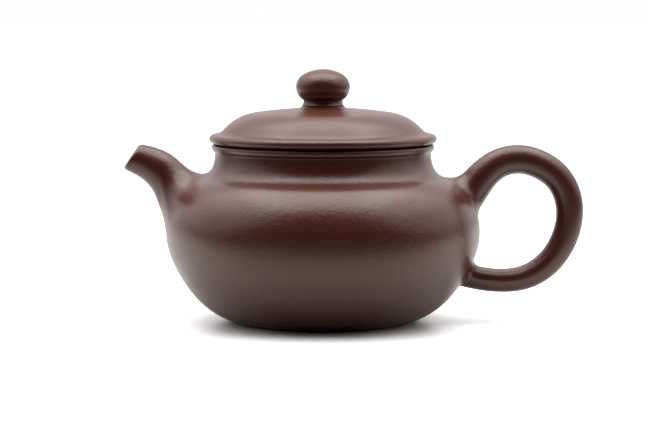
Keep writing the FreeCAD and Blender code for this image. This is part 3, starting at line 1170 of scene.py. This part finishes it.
@dataclass
class Limb(ClayPiece):
    """Round limb that grows out of the pot's wall with a soft root.

    Its points start on the limb's own skin, cut the corner at the wall and go on over the wall as a
    narrow skirt. They then slide along the slope of a joined distance until that is the relief's
    height: the lesser of the distances to limb and wall, less a quarter of the softness times the
    squared overlap of the two. The softness of each column follows the angle between limb and wall
    at its foot, so that the root keeps the round of a ball rolled along the corner.

    Args:
        stations: Stations of the middle line as x, z and radius.
        round_low: Radius of the ball at the root's lower side.
        round_high: Radius of the ball at its upper side.
        round_heights: Heights between which the one eases into the other.
        tube_rows: Rows along the limb.
        samples: Samples along a line that is searched.
        corner_rows: Rows round the corner.
        corner_share: Reach of the corner in tangent lengths of the ball.
        skirt_rows: Rows of the skirt.
        skirt: Width of the skirt.
        tuck: Depth of the skirt's end in the wall.
        depth: Depth of the hidden rows in the wall.
        sunk_step: Rows from one hidden row to the next.
        slides: Steps in which the points settle.
        least_steepness: Least squared slope that such a step divides by.
    """

    body = Body.POT
    columns = 96

    stations: tuple[Triple, ...]
    round_low: float
    round_high: float
    round_heights: Pair
    tube_rows: int
    samples: int = 500
    corner_rows: int = 26
    corner_share: float = 1.2
    skirt_rows: int = 7
    skirt: float = 2.0
    tuck: float = 0.04
    depth: float = 0.8
    sunk_step: int = 4
    slides: int = 24
    least_steepness: float = 0.25
    wall: PotSkin = field(init=False)
    spine: Spine = field(init=False)

    def __post_init__(self) -> None:
        """Lays out the pot's outside and the middle line."""
        self.wall, self.spine = PotSkin(), Spine(self.stations)

    def angles(self) -> Points:
        """Spaces the columns evenly round the limb, in radians."""
        return 2 * np.pi * self.turns()

    def ball(self, points: Points) -> Points:
        """Eases the ball's radius from the root's lower to its upper side."""
        share = ramp(points[..., 2], self.round_heights)
        return self.round_low + (self.round_high - self.round_low) * share**2 * (3.0 - 2.0 * share)

    def tube_relief(self, share: Points) -> Points:
        """Works out the relief along the limb, which fades out at both ends."""
        return self.relief.height(share, self.turns()) * np.sin(np.pi * share)[:, None]

    def corner(self, foot: Points) -> tuple[Points, Points, Points]:
        """Finds the sharp corner between limb and wall.

        Args:
            foot: Places along the line where each column meets the wall.

        Returns:
            The corner's points, directions out of the wall and directions away from the middle line.
        """
        points = self.spine.skin(foot, self.angles())
        return points, self.wall.distance(points)[1], self.spine.nearest(points, foot)[2]

    def softness(self, foot: Points) -> Points:
        """Works out how far each column's root spreads.

        It is four times the ball's radius, times what the cosine of half the corner's turn lacks of 1.
        Corners that turn by more than a right angle count as right angles.

        Args:
            foot: Places along the line where each column meets the wall.

        Returns:
            One softness per column in millimetres.
        """
        corner, outward, away = self.corner(foot)
        cosine = np.clip(np.sum(away * outward, axis=-1), 0.0, 1.0)
        return 4.0 * self.ball(corner) * (1.0 - np.sqrt((1.0 + cosine) / 2))

    def root(self, foot: Points, outside: float) -> tuple[Points, Points, Points]:
        """Lays rows from the limb round the corner and out over the wall.

        The corner is a quadratic curve between the two flanks, a ball's tangent length from the foot.

        Args:
            foot: Places along the line where each column meets the wall.
            outside: 1 where the limb runs out with the line, and -1 where it runs out against it.

        Returns:
            Rows of points, their places along the line and their heights, from the limb outward.
        """
        corner, outward, away = self.corner(foot)
        cosine = np.sum(away * outward, axis=-1)
        along = away - outward * cosine[:, None]
        along /= np.linalg.norm(along, axis=-1, keepdims=True)
        tangent = np.minimum(np.sqrt((1.0 - cosine) / (1.0 + cosine)), 1.0)
        reach = self.corner_share * self.ball(corner) * tangent
        start = foot + outside * reach
        share = np.linspace(0.0, 1.0, self.corner_rows)[:, None, None]
        beside = corner + along * reach[:, None]
        turn = quadratic(share, self.spine.skin(start, self.angles()), corner, beside)
        steps = np.arange(1, self.skirt_rows + 1)[:, None] / self.skirt_rows
        skirt = beside + along * (self.skirt * steps)[..., None]
        lengths = np.vstack([start + (foot - start) * share[..., 0], foot * np.ones_like(steps)])
        heights = np.vstack([np.zeros_like(share[..., 0]), -self.tuck * steps**2])
        return np.concatenate([turn, skirt]), lengths, heights * np.ones(self.columns)

    def settle(self, soft: Points, points: Points, length: Points, height: Points) -> Points:
        """Slides points onto the joined surface.

        Args:
            soft: Softness of the root at each point in millimetres.
            points: Starting points.
            length: First guesses of their places along the line.
            height: Relief at each point in millimetres.

        Returns:
            The settled points.
        """
        for _ in range(self.slides):
            length, gap, away = self.spine.nearest(points, length)
            clear, outward = self.wall.distance(points)
            overlap = np.clip(1.0 - np.abs(gap - clear) / soft, 0.0, 1.0)
            level = np.minimum(gap, clear) - overlap**2 * soft / 4
            share = np.where(gap < clear, 1.0 - overlap / 2, overlap / 2)[..., None]
            slope = share * away + (1.0 - share) * outward
            steep = np.maximum(np.sum(slope**2, axis=-1), self.least_steepness)
            points = points - ((level - height) / steep)[..., None] * slope
        return points

    def under(self, rows: Points) -> Points:
        """Sinks some of a root's rows into the pot's wall, to close the limb out of sight.

        Args:
            rows: Settled rows, from the end of the skirt inward.

        Returns:
            Rows at the root's depth, from the end of the skirt back to the foot.
        """
        picked = rows[: self.skirt_rows + self.corner_rows // 2 : self.sunk_step]
        clear, outward = self.wall.distance(picked)
        return picked - outward * (clear + self.depth)[..., None]


@dataclass
class EarHandle(Limb):
    """Round ear handle with a wide soft root above and a tighter one below."""

    name = "ear_handle"
    nodes = ("handle",)
    relief = HandRelief(swell=0.03, scrape=0.006, seed=11, swells=(12, 4), scrapes=(48, 9))

    stations: tuple[Triple, ...] = (
        (41.0, 33.0, 6.2), (48.1, 43.1, 5.4), (51.7, 47.3, 4.95), (56.5, 50.6, 4.7),
        (62.2, 51.7, 4.62), (69.5, 49.8, 4.58), (75.2, 45.3, 4.5), (78.65, 34.5, 4.35),
        (76.75, 25.9, 4.2), (70.6, 17.4, 4.05), (63.9, 13.8, 3.88), (57.0, 12.95, 3.75),
        (48.6, 13.9, 3.75), (42.0, 15.5, 3.75),
    )
    round_low: float = 1.8
    round_high: float = 4.6
    round_heights: Pair = (8.0, 32.0)
    tube_rows: int = 150

    def surface(self) -> Mesh:
        """Runs from the upper root's skirt along the ear to the lower root's skirt.

        Returns:
            The closed mesh.
        """
        angle = self.angles()
        whole = np.linspace(0.0, self.spine.knots[-1], self.samples)
        clear = self.wall.distance(self.spine.skin(whole[:, None], angle))[0]
        half = self.samples // 2
        upper = first_below(whole[half::-1], clear[half::-1])
        lower = first_below(whole[half:], clear[half:])
        above, above_lengths, above_heights = (rows[::-1] for rows in self.root(upper, 1.0))
        below, below_lengths, below_heights = self.root(lower, -1.0)
        share = np.linspace(0.0, 1.0, self.tube_rows)
        length = above_lengths[-1] + (below_lengths[0] - above_lengths[-1]) * share[:, None]
        lengths = np.vstack([above_lengths, length[1:-1], below_lengths])
        heights = np.vstack([above_heights, self.tube_relief(share)[1:-1], below_heights])
        points = np.concatenate([above, self.spine.skin(length, angle)[1:-1], below])
        early = np.arange(len(points))[:, None] < len(points) // 2
        soft = np.where(early, self.softness(upper), self.softness(lower))
        shown = self.settle(soft, points, lengths, heights)
        rings = np.concatenate([self.under(shown)[::-1], shown, self.under(shown[::-1])])
        tips = rings[[0, -1]].mean(axis=1)
        return closed_mesh(self.name, rings * self.scale, tips * self.scale)


@dataclass
class PouringSpout(Limb):
    """Short hollow spout with one bend, a wide soft root and an oblique rounded lip.

    Args:
        bore: Stations of the bore's middle line as x, z and radius.
        bore_reach: Length of the bore that opens the pot's wall.
        lip_high: Upper end of the lip's plane as x and z.
        lip_low: Lower end of the lip's plane as x and z.
        lip_round: Round of the lip's outer edge.
        lip_inner_round: Round of its inner edge.
        lip_rows: Rows round each of the two.
    """

    name = "pouring_spout"
    nodes = ("spout",)
    relief = HandRelief(swell=0.03, scrape=0.006, seed=12, swells=(4, 4), scrapes=(14, 9))

    stations: tuple[Triple, ...] = (
        (-40.0, 31.0, 8.0), (-45.0, 38.3, 7.3), (-48.4, 44.5, 6.5),
        (-52.4, 48.78, 5.97), (-57.3, 51.26, 5.14), (-65.5, 53.85, 3.95),
    )
    round_low: float = 12.0
    round_high: float = 5.6
    round_heights: Pair = (36.0, 48.0)
    tube_rows: int = 60
    bore: tuple[Triple, ...] = (
        (-38.5, 35.0, 5.6), (-44.2, 38.8, 5.1), (-48.8, 44.3, 4.6),
        (-52.7, 48.6, 4.25), (-57.3, 51.4, 3.6), (-66.0, 53.9, 2.8),
    )
    bore_reach: float = 17.0
    lip_high: Pair = (-58.3, 56.65)
    lip_low: Pair = (-63.4, 49.1)
    lip_round: float = 1.1
    lip_inner_round: float = 0.3
    lip_rows: int = 7

    def bore_mesh(self) -> Mesh:
        """Fills the lower end of the bore, from inside the pot to just past its wall.

        Returns:
            The closed mesh.
        """
        length = np.linspace(0.0, self.bore_reach, self.tube_rows)
        rings = Spine(self.bore).skin(length[:, None], self.angles())
        tips = rings[[0, -1]].mean(axis=1)
        return closed_mesh("spout_bore", rings * self.scale, tips * self.scale)

    def short_of_lip(self, points: Points) -> Points:
        """Measures how far points lie behind the lip's plane.

        Args:
            points: Points in millimetres.

        Returns:
            Distances, below nought beyond the lip.
        """
        high, low = np.array(self.lip_high), np.array(self.lip_low)
        beyond = np.array([low[1] - high[1], high[0] - low[0]]) / np.linalg.norm(low - high)
        return (high - points[..., ::2]) @ beyond

    def ends(self, line: Spine, depth: float) -> tuple[Points, Points]:
        """Finds where a line's skin leaves the wall and where it meets the lip's plane.

        Args:
            line: Middle line of the spout or of its bore.
            depth: Depth in the wall at which the skin starts.

        Returns:
            Places along the line at the wall and at the lip, one per column.
        """
        whole = np.linspace(0.0, line.knots[-1], self.samples)
        skin = line.skin(whole[:, None], self.angles())
        root = first_below(whole[::-1], self.wall.distance(skin)[0][::-1] + depth)
        return root, first_below(whole, self.short_of_lip(skin))

    def surface(self) -> Mesh:
        """Runs up the bore, over the lip, down the outside and over the skirt, and closes in the wall.

        Returns:
            The closed mesh.
        """
        bore, angle = Spine(self.bore), self.angles()
        root, tip = self.ends(self.spine, 0.0)
        inner_root, inner_tip = self.ends(bore, self.depth)
        edge, inner_edge = self.spine.skin(tip, angle), bore.skin(inner_tip, angle)
        across = inner_edge - edge
        across /= np.linalg.norm(across, axis=-1, keepdims=True)
        share = np.linspace(0.0, 1.0, self.tube_rows)
        bore_end = inner_tip - self.lip_inner_round
        channel = bore.skin(inner_root + (bore_end - inner_root) * share[:, None], angle)
        turn = np.linspace(0.0, 1.0, self.lip_rows)[:, None, None]
        inner_lip = quadratic(turn, channel[-1], inner_edge, inner_edge - across * self.lip_inner_round)
        base, base_lengths, base_heights = self.root(root, 1.0)
        start = tip - self.lip_round
        length = (start + (base_lengths[0] - start) * share[:, None])[:-1]
        lengths = np.vstack([length, base_lengths])
        heights = np.vstack([self.tube_relief(share)[:-1], base_heights])
        tube = np.concatenate([self.spine.skin(length, angle), base])
        shown = self.settle(self.softness(root), tube, lengths, heights)
        outer_lip = quadratic(turn, edge + across * self.lip_round, edge, shown[0])
        hidden = self.under(shown[::-1])
        rings = np.concatenate([channel, inner_lip[1:], outer_lip[:-1], shown, hidden])
        return closed_mesh(self.name, rings * self.scale, NO_TIPS)


@dataclass
class BallStrainer:
    """Perforated half ball behind the spout's opening, whose solid already has its final shape.

    Args:
        solid: Frame object of the strainer.
        clay: Material to wear.
    """

    solid: bpy.types.Object
    clay: Material

    def dress(self) -> None:
        """Gives the solid the clay in place of its plain colour."""
        self.solid.data.materials.clear()
        self.solid.data.materials.append(self.clay)
        LOG.info("%s: kept, %d faces", self.solid.name, len(self.solid.data.polygons))


@dataclass(frozen=True)
class SoftLamp:
    """Wide round light far overhead.

    Args:
        name: Lamp name.
        level: Light on a face turned to it, where 1 shows a colour as written.
        width: Angle in degrees that the light spans.
        lean: Lean from straight above in degrees, to the viewer and to the spout's side.
    """

    name: str
    level: float
    width: float
    lean: Pair

    def build(self) -> None:
        """Adds the lamp."""
        lamp = bpy.data.lights.new(self.name, "SUN")
        lamp.energy = self.level * math.pi
        lamp.angle = math.radians(self.width)
        holder = bpy.data.objects.new(self.name, lamp)
        holder.rotation_euler = (math.radians(self.lean[0]), math.radians(-self.lean[1]), 0.0)
        bpy.context.scene.collection.objects.link(holder)


@dataclass(frozen=True)
class Studio:
    """White table under a broad strip of soft light, with a white sweep behind and a dim room in front.

    Args:
        lamps: Lights that together make the strip.
        wall: Brightness of the sweep behind in reflections.
        dim: Brightness of the room in front in reflections.
        opening: Cosines to straight back between which the room eases into the sweep.
        fill: Share of the surroundings' brightness that lights the object softly.
        reach: How far the table goes to each side in metres.
    """

    lamps: tuple[SoftLamp, ...] = (
        SoftLamp("overhead", 0.60, 66.0, (-4.0, 0.0)),
        SoftLamp("spout_wing", 0.25, 60.0, (-4.0, 26.0)),
        SoftLamp("handle_wing", 0.25, 60.0, (-4.0, -26.0)),
        SoftLamp("spout_side", 0.26, 70.0, (-4.0, 50.0)),
        SoftLamp("handle_side", 0.26, 70.0, (-4.0, -50.0)),
    )
    wall: float = 1.0
    dim: float = 0.02
    opening: Pair = (0.0, 0.8)
    fill: float = 0.12
    reach: float = 6.0

    def build(self) -> None:
        """Adds table, lights and surroundings."""
        self.table()
        for lamp in self.lamps:
            lamp.build()
        self.surroundings()

    def table(self) -> None:
        """Adds the table, a flat sheet at the foot's level."""
        xs, ys = np.meshgrid([-self.reach, self.reach], [-self.reach, self.reach])
        points = np.column_stack([xs.ravel(), ys.ravel(), np.zeros(4)])
        mesh = grid_mesh("table", points, np.array([[0, 1, 3, 2]]), NO_FANS)
        mesh.materials.append(StagePaint().build())
        table = bpy.data.objects.new("table", mesh)
        bpy.context.scene.collection.objects.link(table)

    def surroundings(self) -> None:
        """Shades the world: white to the camera, and to the object a sweep that eases into a dim room.

        The brightness follows the cosine of the angle between a direction and straight back.
        """
        world = bpy.data.worlds.new("studio")
        world.use_nodes = True
        tree = world.node_tree
        aim = {0: node(tree, "TexCoord", {})["Generated"], 1: STRAIGHT_BACK}
        cosine = node(tree, "VectorMath", aim, operation="DOT_PRODUCT")["Value"]
        sweep = remap(tree, cosine, self.opening, (self.dim, self.wall), Ease.SMOOTH)
        level = by_ray(tree, 1.0, sweep, arithmetic(tree, "MULTIPLY", sweep, self.fill))
        feed(tree, tree.nodes["Background"], {"Color": WHITE, "Strength": level})
        bpy.context.scene.world = world


@dataclass(frozen=True)
class PhotoCamera:
    """Camera standing where the photograph was taken.

    Args:
        place: Camera place in metres.
        pitch: Downward tilt in degrees.
        lens: Focal length in millimetres on the sensor.
        sensor: Sensor width in millimetres.
    """

    place: Triple = (0.000318, -0.79888, 0.107)
    pitch: float = 5.25
    lens: float = 139.74
    sensor: float = 36.0

    def build(self) -> None:
        """Adds the camera and makes it the scene's own."""
        data = bpy.data.cameras.new("photo_camera")
        data.lens = self.lens
        data.sensor_width = self.sensor
        holder = bpy.data.objects.new("photo_camera", data)
        holder.location = Vector(self.place)
        holder.rotation_euler = (math.radians(90.0 - self.pitch), 0.0, 0.0)
        bpy.context.scene.collection.objects.link(holder)
        bpy.context.scene.camera = holder


def main() -> None:
    """Builds the pot, its clay, the studio and the camera round the frame."""
    logging.basicConfig(level=logging.INFO, format="%(name)s %(message)s")
    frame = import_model()
    bpy.context.scene.view_settings.view_transform = "Standard"
    clay = ClayFinish("burnished_clay").build()
    low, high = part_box("body_wall")
    scale = (high.y - low.y) / 2 / PotShell.belly[0]
    for piece in (PotShell, PouringSpout, EarHandle, LidCap, KnobButton):
        piece(clay, scale).build()
    BallStrainer(frame["nodes"]["strainer"], clay).dress()
    Studio().build()
    PhotoCamera().build()


if __name__ == "__main__":
    main()
